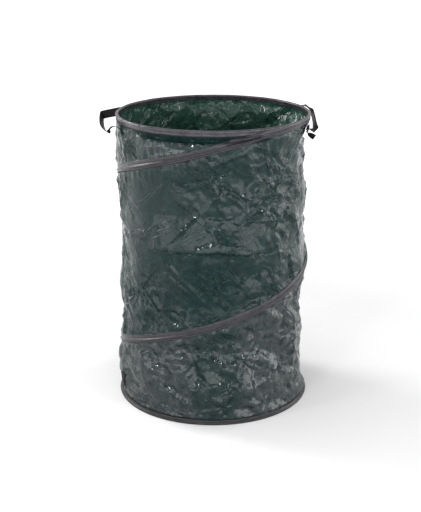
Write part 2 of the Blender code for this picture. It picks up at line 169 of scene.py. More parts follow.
floor_mesh = bpy.data.meshes.new("studio_floor")
floor_ways = [math.tau * k / floor_corners for k in range(floor_corners)]
floor_rim = [(floor_radius * math.cos(way), floor_radius * math.sin(way), 0.0) for way in floor_ways]
floor_mesh.from_pydata(floor_rim, [], [tuple(range(floor_corners))])
studio_floor = bpy.data.objects.new("studio_floor", floor_mesh)
bpy.context.scene.collection.objects.link(studio_floor)
floor_paint, floor_tree, floor_base = new_material("pale_floor", {
    "Base Color": (floor_tone, floor_tone, floor_tone, 1.0), "Roughness": 0.9, "Specular IOR Level": 0.0,
    "Emission Color": white})
floor_reach = vector_step(floor_tree, "LENGTH", object_place(floor_tree))["Value"]
floor_fade = ranged(floor_tree, floor_reach, (floor_near, floor_far), (floor_lift, 1.0),
                    interpolation_type="SMOOTHSTEP")
floor_glow = calculated(floor_tree, "MULTIPLY", seen_directly(floor_tree), floor_fade)
set_sockets(floor_tree, floor_base, {"Emission Strength": floor_glow})
floor_mesh.materials.append(floor_paint)

for lamp_name, lamp_place, lamp_size, lamp_power in soft_boxes:
    lamp_data = bpy.data.lights.new(lamp_name, "AREA")
    lamp_data.shape = "RECTANGLE"
    lamp_data.size, lamp_data.size_y = lamp_size
    lamp_data.energy = lamp_power
    lamp = bpy.data.objects.new(lamp_name, lamp_data)
    lamp.location = lamp_place
    lamp.rotation_euler = (Vector(lamp_aim) - Vector(lamp_place)).to_track_quat("-Z", "Y").to_euler()
    bpy.context.scene.collection.objects.link(lamp)

# The wall is one length of thin green tarpaulin, woven polythene tape with a
# glossy film on both faces. It is rolled into a tube and sewn to the wire
# casings, which draw it in between them, and it keeps the creases it was packed in.
rim_wire_radius = 0.2243
rim_wire_z = 0.6923
wall_top_radius = 0.2247
wall_foot_radius = 0.2255
wall_top_z = 0.6895
cloth_thickness = 0.0004
cloth_grid = 0.0032
spiral_start = 342.0
spiral_total = 660.0
spiral_step = 6.0
ease_in_share = 0.107
ease_out_share = 0.114
pitch_growth_share = 0.27
sewn_land = 0.010
wall_land = 0.014
lump_fade = 0.035
waist_pull_share = 0.022
waist_pull_lean = 0.016
bulge_knee = 0.008
waist_knee = -0.018
crease_angle = math.radians(9.0)
seam_angle = 195.0
circumference = math.tau * wall_foot_radius

# Middles of the places where the cloth is smooth or ruffled, and of the low front that is kept free of
# painted sheen, in degrees round from the right handle and metres up. Middles of the places where the
# photo's cloth is smooth, ruffled or scuffed, in degrees round from the right handle and metres up.
smooth_left = (228, 0.46)
smooth_front = (269, 0.325)
smooth_band = (272, 0.452)
ruffle_middle = (251, 0.644)
sheen_free_front = (272, 0.13)
right_handle_middle = (0, 0.655)
right_handle_grip = (356, 0.648)


def spiral_table():
    """Height of the spiral at each step of angle, slow where it leaves each hoop."""
    steps = round(spiral_total / spiral_step)
    share = (np.arange(steps) + 0.5) / steps
    ease = np.minimum(1.0, share / ease_in_share) * np.minimum(1.0, (1.0 - share) / ease_out_share)
    fall = np.concatenate([[0.0], np.cumsum(ease * (1.0 + pitch_growth_share * (share - 0.5)))])
    return np.arange(steps + 1) * spiral_step, wall_top_z * (1.0 - fall / fall[-1])


spiral_turns, spiral_heights = spiral_table()


def spiral_height(turn):
    """Height of the wire after so many degrees of turn from the rim."""
    return np.interp(turn, spiral_turns, spiral_heights)


def wall_radius(z):
    return wall_foot_radius + (wall_top_radius - wall_foot_radius) * z / wall_top_z


def ring_points(reach, degrees, z):
    """Points at these distances from the bag's axis, angles round it and heights."""
    reach, way, z = np.broadcast_arrays(reach, np.radians(degrees), z)
    return np.stack([reach * np.cos(way), reach * np.sin(way), z], axis=-1)


def smooth(value):
    """A share from 0 to 1 that starts and ends gently."""
    value = np.clip(value, 0.0, 1.0)
    return value * value * (3.0 - 2.0 * value)


def soft_noise(angle, z, size, seed):
    """Smooth noise from -1 to 1 on the tube's surface, with lumps of a given size."""
    x = wall_foot_radius * np.cos(np.radians(angle)) / size
    y = wall_foot_radius * np.sin(np.radians(angle)) / size
    flat = [noise.noise(Vector((a, b, c + 17.3 * seed)))
            for a, b, c in zip(x.ravel(), y.ravel(), (z / size).ravel())]
    return np.array(flat).reshape(z.shape)


def facets(angle, z, spacing, tall, seed):
    """Heights from -1 to 1 of crumpled cloth: scattered corners joined by flat facets."""
    draw = np.random.default_rng(seed)
    columns = round(circumference / spacing)
    rows = round(wall_top_z / (spacing * tall)) + 4
    cell = circumference / columns
    u, v = np.meshgrid(np.arange(columns), np.arange(rows) - 2.0)
    u = (u + draw.uniform(-0.46, 0.46, u.shape) + 0.5 * (np.arange(rows)[:, None] % 2)) * cell
    v = (v + draw.uniform(-0.46, 0.46, v.shape)) * spacing * tall
    h = draw.uniform(-1.0, 1.0, u.shape)
    corners = np.stack([u.ravel(), v.ravel(), h.ravel()], axis=1)
    wrapped = np.concatenate([corners + (shift * circumference, 0.0, 0.0) for shift in (-1, 0, 1)])
    near = (wrapped[:, 0] > -3.0 * spacing) & (wrapped[:, 0] < circumference + 3.0 * spacing)
    wrapped = wrapped[near]
    flat = delaunay_2d_cdt([Vector(p[:2]) for p in wrapped], [], [], 0, 1e-7)
    lifted = [Vector((p.x, p.y, wrapped[source[0]][2])) for p, source in zip(flat[0], flat[3])]
    tree = BVHTree.FromPolygons(lifted, flat[2])
    down = Vector((0.0, 0.0, -1.0))
    reach = circumference * (angle % 360.0) / 360.0
    found = [tree.ray_cast(Vector((a, b, 2.0)), down)[0] for a, b in zip(reach.ravel(), z.ravel())]
    return np.array([0.0 if hit is None else hit.z for hit in found]).reshape(z.shape)


def fold(angle, z, route, height, above, below):
    """One crease along a route of (degrees, metres): a roof with unlike slopes above and below."""
    best = np.full(z.shape, 1e9)
    side = np.zeros(z.shape)
    for (a0, z0), (a1, z1) in zip(route, route[1:]):
        start = np.array((math.radians(a0) * wall_foot_radius, z0))
        along = np.array((math.radians(a1 - a0) * wall_foot_radius, z1 - z0))
        du = np.radians((angle - a0 + 180.0) % 360.0 - 180.0) * wall_foot_radius
        dv = z - start[1]
        t = np.clip((du * along[0] + dv * along[1]) / (along @ along), 0.0, 1.0)
        gap = np.hypot(du - t * along[0], dv - t * along[1])
        turn = (along[0] * dv - along[1] * du) * (1.0 if along[0] >= 0.0 else -1.0)
        closer = gap < best
        side = np.where(closer, turn, side)
        best = np.minimum(best, gap)
    width = np.where(side >= 0.0, above, below)
    return height * np.maximum(0.0, 1.0 - best / width)


def patch(angle, z, middle, half_angle, half_height, edge=0.35):
    """1 inside an oval region of the wall, fading to 0 over a share of its size."""
    du = ((angle - middle[0] + 180.0) % 360.0 - 180.0) / half_angle
    dv = (z - middle[1]) / half_height
    return smooth((1.0 - np.hypot(du, dv)) / edge + 0.5)


# Creases that show on the front of the wall: route in degrees round the bag and
# metres up, height of the ridge, and how far its slopes run above and below.
front_folds = (
    (((247, 0.421), (256, 0.424), (266, 0.421), (272, 0.425), (282, 0.419), (291, 0.414)),
     0.0095, 0.070, 0.007),
    (((244, 0.378), (254, 0.342), (264, 0.301)), 0.0034, 0.007, 0.011),
    (((241, 0.360), (251, 0.331), (260, 0.306)), 0.0032, 0.007, 0.012),
    (((267, 0.640), (268.6, 0.611), (268, 0.592), (271.7, 0.557), (275, 0.538)), 0.0045, 0.009, 0.009),
    (((268.9, 0.616), (279, 0.632), (295, 0.652)), 0.0038, 0.014, 0.008),
    (((293.9, 0.646), (307, 0.626), (321, 0.616)), -0.0048, 0.012, 0.018),
    (((277, 0.573), (285, 0.549)), -0.0046, 0.008, 0.012),
    (((325, 0.376), (326.7, 0.330)), -0.0075, 0.008, 0.010),
    (((299.6, 0.226), (300.1, 0.183), (308, 0.160)), -0.0065, 0.008, 0.014),
    (((242, 0.664), (257, 0.661), (272, 0.663)), 0.0040, 0.008, 0.010),
    (((251, 0.181), (256.5, 0.146), (261, 0.110)), -0.0052, 0.014, 0.020),
    (((257, 0.520), (246, 0.436)), -0.0030, 0.020, 0.024),
    (((271, 0.540), (259, 0.486), (246, 0.430)), 0.0042, 0.010, 0.034),
    (((286, 0.162), (299, 0.148), (310, 0.118)), 0.0050, 0.018, 0.012),
    (((284, 0.142), (296, 0.108), (304, 0.106)), 0.0042, 0.012, 0.018),
    (((262, 0.176), (274, 0.150), (284, 0.118), (288, 0.092)), 0.0050, 0.020, 0.014),
    (((273, 0.060), (286, 0.076), (300, 0.092), (314, 0.122)), 0.0046, 0.016, 0.012),
    (((232, 0.190), (238, 0.150), (247, 0.120)), 0.0044, 0.016, 0.020),
    (((222, 0.150), (236, 0.138), (250, 0.146)), 0.0034, 0.012, 0.012),
    (((311, 0.180), (322, 0.168), (332, 0.180)), 0.0050, 0.016, 0.012),
    (((316, 0.140), (322, 0.095), (330, 0.050)), 0.0046, 0.010, 0.014),
    (((328, 0.150), (334, 0.100), (341, 0.060)), 0.0048, 0.010, 0.014),
    (((228, 0.300), (238, 0.262), (250, 0.236)), 0.0038, 0.010, 0.016),
    (((210, 0.330), (222, 0.290), (236, 0.240)), 0.0036, 0.012, 0.014),
    (((206, 0.290), (214, 0.246), (224, 0.222)), 0.0040, 0.010, 0.012),
    (((300, 0.500), (312, 0.470), (322, 0.430)), 0.0044, 0.012, 0.016),
    (((306, 0.560), (318, 0.530), (330, 0.540)), 0.0040, 0.012, 0.016),
    (((290, 0.540), (300, 0.520), (308, 0.486)), 0.0034, 0.010, 0.014),
    (((322, 0.600), (330, 0.560), (338, 0.520)), 0.0050, 0.012, 0.014),
    (((326, 0.480), (334, 0.440), (340, 0.400)), 0.0052, 0.012, 0.014),
)


def stray_creases(count, seed):
    """Crease routes all over the wall, more of them low down and none where it is smooth."""
    draw = np.random.default_rng(seed)
    creases = []
    while len(creases) < count:
        angle, z = draw.uniform(0.0, 360.0), wall_top_z * draw.uniform(0.02, 0.98) ** 1.15
        way, length = draw.uniform(0.0, math.pi), draw.uniform(0.030, 0.115)
        bend = draw.uniform(-0.7, 0.7)
        height = draw.choice((-1.0, 1.0)) * draw.uniform(0.0012, 0.0036)
        steep, gentle = draw.uniform(0.004, 0.007), draw.uniform(0.010, 0.028)
        above, below = (steep, gentle) if draw.uniform() < 0.5 else (gentle, steep)
        if max(patch(angle, z, smooth_left, 25, 0.14), patch(angle, z, smooth_front, 15, 0.075)) > 0.3:
            continue
        route = [(angle, z)]
        for _ in range(3):
            angle = angle + math.degrees(math.cos(way) * length / 3 / wall_foot_radius)
            z = z + math.sin(way) * length / 3
            route.append((angle, z))
            way += bend * draw.uniform(0.3, 1.0)
        creases.append((tuple(route), height, above, below))
    return tuple(creases)


stray_folds = stray_creases(420, 5)


def near_route(angle, z, route, margin):
    """The block of the grid that a crease can reach, as a pair of indexes."""
    angles, heights = [p[0] for p in route], [p[1] for p in route]
    middle = 0.5 * (min(angles) + max(angles))
    half = 0.5 * (max(angles) - min(angles)) + math.degrees(margin / wall_foot_radius)
    columns = np.abs((angle[0] - middle + 180.0) % 360.0 - 180.0) <= half
    rows = (z[:, 0] >= min(heights) - margin) & (z[:, 0] <= max(heights) + margin)
    return np.ix_(rows, columns)


# Broad lumps of the slack cloth, in millimetres outward: one row of the table for each
# height from the top down, one number for each 24 degrees round from the right handle.
lump_height_shares = (1.0, 0.95, 0.841, 0.725, 0.609, 0.5, 0.377, 0.2465, 0.123, 0.0)
lump_table = (
    (0, 0, 0, 0, 0, 0, 0, 0, 0, 0, 0, 0, 0, 0, 0),
    (2, -3, 4, -2, 3, -4, 2, 1, -2, 1, 2, -2, 2, -2, 3),
    (-5, 4, -3, 6, -4, 3, -5, 4, 0, 0, -1, 1, -3, -5, -3),
    (6, -4, 5, -3, 5, -6, 4, -4, 1, 1, 0, -3, -2, 0, 4),
    (-4, 6, -5, 4, -3, 6, -4, -3, -4, 0, 8, 9, 7, 4, -2),
    (5, -3, 4, -6, 5, -4, 5, -1, -4, -2, -2, -1, -2, 1, 3),
    (-3, 5, -4, 4, -5, 5, -3, 2, 1, 2, -3, -4, -3, -5, -4),
    (4, -5, 5, -3, 4, -3, 5, -1, -3, -6, -7, -7, -7, -5, 0),
    (-4, 4, -3, 5, -4, 4, -5, 7, 7, 8, 8, 8, 8, 7, 0),
    (0, 0, 0, 0, 0, 0, 0, 0, 0, 0, 0, 0, 0, 0, 0),
)


def broad_lumps(angle, z):
    """Flat-sided lumps between the points of the table, in metres."""
    table = np.array(lump_table) / 1000.0
    column = (angle % 360.0) / 24.0
    left = np.floor(column).astype(int)
    across = column - left
    left, right = left % 15, (left + 1) % 15
    heights = wall_top_z * np.array(lump_height_shares)[::-1]
    low = np.clip(np.searchsorted(heights, z, side="right") - 1, 0, len(heights) - 2)
    up = np.clip((z - heights[low]) / (heights[low + 1] - heights[low]), 0.0, 1.0)
    row = len(heights) - 1 - low
    a, b = table[row, left], table[row, right]
    c, d = table[row - 1, left], table[row - 1, right]
    lower_half = a + (b - a) * across + (c - a) * up
    upper_half = d + (c - d) * (1.0 - across) + (b - d) * (1.0 - up)
    return np.where(across + up < 1.0, lower_half, upper_half)


def spiral_turns_at(angle):
    """The turn at an angle, and the heights of the wire there and one turn lower."""
    turn = (spiral_start - angle) % 360.0
    return turn, spiral_height(turn), np.where(turn + 360.0 > spiral_total, 0.0, spiral_height(turn + 360.0))


def low_down(angle, z):
    """1 below the spiral's lower turn, where the cloth is slackest, fading in round the right."""
    turn, upper, lower = spiral_turns_at(angle)
    fade = np.where(z < upper, smooth((turn - 300.0) / 50.0), 0.0)
    return np.where(z < lower, 1.0, fade)


# Three sizes of crumples: height, lean in degrees per metre, size, how much taller than
# wide, and seed. Then the tuck under the rim, the gathers along the bands, the slope beyond
# the knees and the dent behind the right handle.
crumple_layers = ((0.0070, 110.0, 0.042, 1.8, 11), (0.0036, 200.0, 0.020, 2.3, 12),
                  (0.0010, 0.0, 0.0125, 1.1, 13))
tuck_depth = 0.0085
tuck_z = 0.6730
tuck_half_height = 0.0052
gather_height = 0.0038
gather_waves = 41.0
knee_slope = 0.4
handle_dent = 0.0078


def wall_relief(angle, z):
    """How far the cloth stands out from, or in from, the tube through its seams."""
    upper, lower = spiral_turns_at(angle)[1:]
    top = np.where(z >= upper, wall_top_z, np.where(z >= lower, upper, lower))
    foot = np.where(z >= upper, upper, np.where(z >= lower, lower, 0.0))
    span = np.maximum(top - foot, 1e-4)
    edge_gap = np.minimum(top - z, z - foot)
    free = smooth((edge_gap - 0.5 * sewn_land) / (1.8 * sewn_land))
    slack = smooth((edge_gap - wall_land) / lump_fade)

    around = np.cos(np.radians(angle))
    reach = np.maximum(span - 2.0 * wall_land, 1e-4)
    middle = np.clip(2.0 * (z - foot - wall_land) / reach - 1.0, -1.0, 1.0)
    pull = (waist_pull_share + waist_pull_lean * around) * np.maximum(0.0, span - 2.0 * wall_land)
    relief = -pull * (1.0 - middle ** 4)
    warp_angle = angle + 0.25 * soft_noise(angle, z, 0.035, 3)
    warp_z = z + 0.001 * soft_noise(angle, z, 0.035, 4)
    relief = relief + broad_lumps(warp_angle, warp_z) * slack

    smooth_zone = np.maximum(patch(angle, z, smooth_left, 26, 0.15), patch(angle, z, smooth_front, 15, 0.075))
    rough = 1.0 - 0.85 * np.maximum(smooth_zone, 0.7 * patch(angle, z, smooth_band, 19, 0.042))
    rough = rough * (0.85 + 0.60 * low_down(angle, z))
    for (height, lean, size, tall, seed), loose in zip(crumple_layers, (slack, free, free)):
        crumple = facets(warp_angle + lean * warp_z, warp_z, size, tall, seed)
        relief = relief + height * crumple * loose * rough
    tucked = patch(angle, np.full(z.shape, 0.5), (262, 0.5), 44, 0.2)
    relief = relief - tuck_depth * tucked * np.exp(-((z - tuck_z) / tuck_half_height) ** 2)

    for route, height, above, below in front_folds + stray_folds:
        near = near_route(angle, z, route, max(above, below) + 0.012)
        relief[near] += fold(warp_angle[near], warp_z[near], route, height, above, below) * free[near]

    gather = np.abs(np.sin(np.radians(angle) * gather_waves + 3.0 * soft_noise(angle, z * 0.0, 0.05, 6)))
    near_band = np.exp(-edge_gap / 0.018) * smooth((edge_gap - 0.006) / 0.007)
    ruffled = 1.0 + 2.4 * patch(angle, z, ruffle_middle, 26, 0.032)
    uneven = 0.6 + 0.4 * soft_noise(angle, z, 0.06, 7)
    relief = relief + gather_height * ruffled * (gather - 0.6) * near_band * uneven
    relief = np.where(relief > bulge_knee, bulge_knee + knee_slope * (relief - bulge_knee), relief)
    relief = np.where(relief < waist_knee, waist_knee + knee_slope * (relief - waist_knee), relief)
    relief = relief - np.maximum(relief, 0.0) * patch(angle, z, right_handle_middle, 28, 0.042)
    return relief - handle_dent * patch(angle, z, right_handle_grip, 22, 0.018)


cloth_columns = round(circumference / cloth_grid)
cloth_rows = round(wall_top_z / cloth_grid)
cloth_angles, cloth_heights = np.meshgrid(np.arange(cloth_columns) * 360.0 / cloth_columns,
                                          np.linspace(0.0, wall_top_z, cloth_rows + 1))
cloth_reach = wall_radius(cloth_heights) + wall_relief(cloth_angles, cloth_heights)

# How strong the shiny film is at each point of the cloth, and where grey painted sheen goes into its colour:
# low on the wall, less on the front.
film_level = 0.15
painted_sheen_film = 0.15
ruffle_film = 0.35
cloth_places = (cloth_angles, cloth_heights)
cloth_painted_sheen = (1.0 - 0.75 * patch(*cloth_places, sheen_free_front, 17, 0.14)) * low_down(*cloth_places)
cloth_film = film_level * (1.0 - patch(*cloth_places, smooth_front, 17, 0.085)) + painted_sheen_film * cloth_painted_sheen
above_band = cloth_heights > spiral_turns_at(cloth_angles)[1]
cloth_film += ruffle_film * patch(*cloth_places, ruffle_middle, 24, 0.024) * above_band


def new_group(name, kind, inputs, outputs):
    """A node group with named sockets: the group, its inputs and its closing node."""
    group = bpy.data.node_groups.new(name, kind)
    for direction, sockets in (("INPUT", inputs), ("OUTPUT", outputs)):
        for socket, sort in sockets:
            group.interface.new_socket(socket, in_out=direction, socket_type="NodeSocket" + sort)
    return group, group.nodes.new("NodeGroupInput").outputs, group.nodes.new("NodeGroupOutput")


def cloth_uv(tree):
    """The piece's own UV map, in metres on the flat cloth."""
    return add_node(tree, "ShaderNodeUVMap", {}, uv_map="cloth").outputs["UV"]


def weave_group():
    """Threads of a plain weave on the piece's own UV map."""
    group, given, result = new_group("plain_weave", "ShaderNodeTree", [("Threads per metre", "Float")],
                                     [("Height", "Float")])
    place = add_node(group, "ShaderNodeSeparateXYZ", {"Vector": cloth_uv(group)}).outputs
    phases = [calculated(group, "MULTIPLY", place[axis], given["Threads per metre"]) for axis in ("X", "Y")]
    waves = [calculated(group, "SINE", phase) for phase in phases]
    set_sockets(group, result, {"Height": calculated(group, "MULTIPLY", *waves)})
    return group


plain_weave = weave_group()

# How far the panes' edges waver, then the thin creases: how many times longer than wide,
# their width, and for each slant the share of the panes' scale, a shift and the slant.
pane_warp = (0.0045, 0.0045, 0.0)
crease_stretch = 3.0
crease_width = 0.11
crease_sets = ((0.50, 0.0, -50.0), (0.80, 3.7, 35.0))


def crinkle_group():
    """Small flat panes, long thin creases on two slants, and blotches, on the UV map."""
    group, given, result = new_group("fine_crinkle", "ShaderNodeTree", [("Size", "Float")],
                                     [("Height", "Float"), ("Blotch", "Float"), ("Crease", "Float")])
    place = cloth_uv(group)
    warp = add_node(group, "ShaderNodeTexNoise", {"Scale": 40.0, "Vector": place}).outputs["Color"]
    moved = vector_step(group, "MULTIPLY_ADD", warp, pane_warp, place)["Vector"]
    scale = calculated(group, "DIVIDE", 1.0, given["Size"])
    panes = add_node(group, "ShaderNodeTexVoronoi", {"Vector": moved, "Scale": scale}).outputs
    from_middle = vector_step(group, "SUBTRACT", moved, panes["Position"])["Vector"]
    lean = vector_step(group, "SUBTRACT", panes["Color"], (0.5, 0.5, 0.5))["Vector"]
    blotches = {"Scale": 55.0, "Detail": 5.0, "Roughness": 0.65, "Vector": place}
    ridges = []
    for cell_share, seed_shift, slant in crease_sets:
        slanted = add_node(group, "ShaderNodeMapping", {
            "Vector": moved, "Location": (seed_shift, seed_shift, 0.0),
            "Rotation": (0.0, 0.0, math.radians(slant)), "Scale": (crease_stretch, 1.0, 1.0)},
            vector_type="TEXTURE").outputs["Vector"]
        cells = {"Vector": slanted, "Scale": calculated(group, "MULTIPLY", scale, cell_share)}
        lines = add_node(group, "ShaderNodeTexVoronoi", cells, feature="DISTANCE_TO_EDGE").outputs["Distance"]
        some = add_node(group, "ShaderNodeTexNoise", {"Scale": 24.0, "Vector": slanted}).outputs["Fac"]
        ridges.append(calculated(group, "MULTIPLY", ranged(group, lines, (0.0, crease_width), (1.0, 0.0)),
                                 ranged(group, some, (0.50, 0.62), (0.0, 1.0))))
    set_sockets(group, result, {
        "Height": vector_step(group, "DOT_PRODUCT", from_middle, lean)["Value"],
        "Blotch": add_node(group, "ShaderNodeTexNoise", blotches).outputs["Fac"],
        "Crease": calculated(group, "MULTIPLY_ADD", ridges[1], 0.6, ridges[0])})
    return group


fine_crinkle = crinkle_group()


def from_group(tree, group, sockets):
    """The outputs of a node group that is placed in a material with its own values."""
    return add_node(tree, "ShaderNodeGroup", sockets, node_tree=group).outputs


def from_cloth(tree, attribute):
    """A value that the cloth's own points carry."""
    return add_node(tree, "ShaderNodeAttribute", {}, attribute_name=attribute).outputs["Fac"]


def blended(tree, share, first, second):
    """Two colours mixed by a share; each is a tuple of three numbers or an output."""
    first, second = ((*colour, 1.0) if isinstance(colour, tuple) else colour for colour in (first, second))
    return add_node(tree, "ShaderNodeMix", {"Factor": share, "A": first, "B": second},
                    data_type="RGBA").outputs["Result"]


def bumped(tree, height, distance, strength=1.0, under=None):
    """The normal over a height, laid on another normal where one is given."""
    sockets = {"Height": height, "Distance": distance, "Strength": strength}
    if under is not None:
        sockets["Normal"] = under
    return add_node(tree, "ShaderNodeBump", sockets).outputs["Normal"]


# Grey painted into the cloth's colour low on the wall: painted sheen that stands in for the grey reflection
# there.
painted_sheen_grey = (0.036, 0.040, 0.043)


def tarpaulin(name, dark, light, roughness, shine, film, crumple):
    """Glossy woven polythene: blotchy green, a faint weave and fine creases."""
    material, tree, shader = new_material(name, {"Specular IOR Level": shine, "Coat Roughness": 0.05})
    crinkle = from_group(tree, fine_crinkle, {"Size": 0.007})
    weave = from_group(tree, plain_weave, {"Threads per metre": 2600.0})
    blotch = ranged(tree, crinkle["Blotch"], (0.35, 0.65), (0.0, 1.0))
    # Painted sheen: the colour turns grey low on the wall, in blotches.
    painted_sheen = calculated(tree, "MULTIPLY", from_cloth(tree, "painted_sheen"), blotch)
    creased = bumped(tree, crinkle["Height"], 0.11 * crumple)
    lined = bumped(tree, crinkle["Crease"], 0.0020 * crumple, under=creased)
    set_sockets(tree, shader, {
        "Base Color": blended(tree, painted_sheen, blended(tree, blotch, dark, light), painted_sheen_grey),
        "Coat Weight": from_cloth(tree, "film") if film is None else film,
        "Roughness": ranged(tree, crinkle["Blotch"], (0.0, 1.0), (roughness - 0.08, roughness + 0.10)),
        "Normal": bumped(tree, weave["Height"], 0.0001, 0.25, lined)})
    return material


cloth_outside = tarpaulin("tarpaulin_outside", (0.0036, 0.0108, 0.0106), (0.0076, 0.0208, 0.0202),
                          0.15, 0.080, None, 1.0)
cloth_inside = tarpaulin("tarpaulin_inside", (0.011, 0.040, 0.029), (0.030, 0.074, 0.056),
                         0.17, 0.15, 0.22, 1.9)


def link_piece(name, mesh):
    """An object of this mesh, linked to the scene."""
    piece = bpy.data.objects.new(name, mesh)
    bpy.context.scene.collection.objects.link(piece)
    return piece


def add_uv(mesh, name, coordinates):
    """A UV map whose values are metres on the flat cloth, given for each face corner."""
    layer = mesh.uv_layers.new(name=name)
    layer.data.foreach_set("uv", np.asarray(coordinates, dtype=np.float32).ravel())


def cloth_panel(name, chosen):
    """The quads of the tube that a mask chooses, as one sheet with a UV map."""
    rows, columns = np.nonzero(chosen)
    after = (columns + 1) % cloth_columns
    corners = np.stack([rows * cloth_columns + columns, rows * cloth_columns + after,
                        (rows + 1) * cloth_columns + after, (rows + 1) * cloth_columns + columns], axis=1)
    used, faces = np.unique(corners, return_inverse=True)
    faces = faces.reshape(corners.shape)
    points = ring_points(*(values.ravel()[used] for values in (cloth_reach, cloth_angles, cloth_heights)))
    mesh = bpy.data.meshes.new(name)
    mesh.from_pydata(points.tolist(), [], faces.tolist())
    mesh.shade_smooth()
    mesh.set_sharp_from_angle(angle=crease_angle)
    u = np.stack([columns, columns + 1, columns + 1, columns], axis=1) * cloth_grid
    v = np.stack([rows, rows, rows + 1, rows + 1], axis=1) * cloth_grid
    add_uv(mesh, "cloth", np.stack([u, v], axis=-1))
    for attribute, values in (("film", cloth_film), ("painted_sheen", cloth_painted_sheen)):
        mesh.attributes.new(attribute, "FLOAT", "POINT").data.foreach_set("value", values.ravel()[used])
    mesh.materials.append(cloth_outside)
    mesh.materials.append(cloth_inside)
    panel = link_piece(name, mesh)
    thicken = panel.modifiers.new("cloth", "SOLIDIFY")
    thicken.thickness = cloth_thickness
    thicken.offset = -1.0
    thicken.material_offset = 1
    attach(panel, "base")
    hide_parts("bag_wall")
    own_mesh(panel)


quad_angle = (np.arange(cloth_columns) + 0.5) * 360.0 / cloth_columns
quad_height = (np.arange(cloth_rows) + 0.5)[:, None] * wall_top_z / cloth_rows
here = spiral_start - seam_angle + (seam_angle - quad_angle) % 360.0
turn_above = np.where(here >= 360.0, spiral_height(here - 360.0), wall_top_z)[None, :]
turn_here = spiral_height(here)[None, :]
turn_below = np.where(here + 360.0 > spiral_total, 0.0, spiral_height(here + 360.0))[None, :]
cloth_panel("wall_top", quad_height >= turn_above)
cloth_panel("wall_upper", (quad_height < turn_above) & (quad_height >= turn_here))
cloth_panel("wall_lower", (quad_height < turn_here) & (quad_height >= turn_below))
cloth_panel("wall_foot", quad_height < turn_below)


def cloth_at(angle, z):
    """Distance of the crumpled cloth's outer face from the bag's axis."""
    column = (np.asarray(angle, dtype=float) % 360.0) * cloth_columns / 360.0
    row = np.clip(np.asarray(z, dtype=float) / wall_top_z * cloth_rows, 0.0, cloth_rows - 1e-6)
    left, low = np.floor(column).astype(int), np.floor(row).astype(int)
    across, up = column - left, row - low
    left, right = left % cloth_columns, (left + 1) % cloth_columns
    below = cloth_reach[low, left] * (1 - across) + cloth_reach[low, right] * across
    above = cloth_reach[low + 1, left] * (1 - across) + cloth_reach[low + 1, right] * across
    return below * (1 - up) + above * up


def wave(x, sizes, seed):
    """A smooth wavering line from about -1 to 1, made of waves of a few lengths."""
    draw = np.random.default_rng(seed)
    total = np.zeros(np.shape(x))
    for size in sizes:
        total = total + np.sin(np.asarray(x) * round(math.tau / size) + draw.uniform(0.0, math.tau))
    return total / len(sizes)


def running_length(points):
    """Distance of each point along a line that closes, ending with its full length."""
    steps = np.linalg.norm(np.roll(points, -1, axis=0) - points, axis=1)
    return np.concatenate([[0.0], np.cumsum(steps)])


def swept_piece(name, rings, closed, material):
    """A solid through rings of points, with a UV map in metres along and round it."""
    rings = np.asarray(rings, dtype=float)
    count, sides = rings.shape[:2]
    row = np.arange(count if closed else count - 1)[:, None, None] + [0, 0, 1, 1]
    side = np.arange(sides)[:, None] + [0, 1, 1, 0]
    faces = ((row % count) * sides + side % sides).reshape(-1, 4).tolist()
    u, v = np.broadcast_arrays(running_length(rings.mean(axis=1))[row], running_length(rings[0])[side])
    coordinates = np.stack([u, v], axis=-1).reshape(-1, 2)
    if not closed:
        first_end = list(range(sides))
        faces += [first_end[::-1], [(count - 1) * sides + corner for corner in first_end]]
        coordinates = np.concatenate([coordinates, np.zeros((2 * sides, 2))])
    mesh = bpy.data.meshes.new(name)
    mesh.from_pydata(rings.reshape(-1, 3).tolist(), [], faces)
    add_uv(mesh, "cloth", coordinates)
    sides_out = bmesh.new()
    sides_out.from_mesh(mesh)
    bmesh.ops.recalc_face_normals(sides_out, faces=sides_out.faces)
    sides_out.to_mesh(mesh)
    sides_out.free()
    mesh.shade_smooth()
    mesh.materials.append(material)
    return link_piece(name, mesh)


# The mouth's casing is grey woven tape, folded over the cloth's top edge with the
# rim's wire in the fold and sewn through both flaps. It puckers along its stitching.
rim_bulge = 0.0037
rim_flap_foot = 0.6812
rim_flap_inner_foot = 0.6836
rim_outer_side = 0.2264
rim_inner_side = 0.2224
tape_layer = 0.0009
hoop_stations = 300
hoop_angles = (np.arange(hoop_stations) * 360.0 / hoop_stations)[:, None]
hoop_round = np.radians(hoop_angles)


def edge_painted_shade_group():
    """1 along both edges of a tape whose UV map runs across it from 0 to its width, where painted shade goes.
    """
    group, given, result = new_group("edge_painted_shade", "ShaderNodeTree", [("Width", "Float")], [("Edge", "Float")])
    across = add_node(group, "ShaderNodeSeparateXYZ", {"Vector": cloth_uv(group)}).outputs["Y"]
    nearest = calculated(group, "MINIMUM", across, calculated(group, "SUBTRACT", given["Width"], across))
    set_sockets(group, result, {"Edge": ranged(group, nearest, (0.0018, 0.0034), (1.0, 0.0))})
    return group


edge_painted_shade = edge_painted_shade_group()


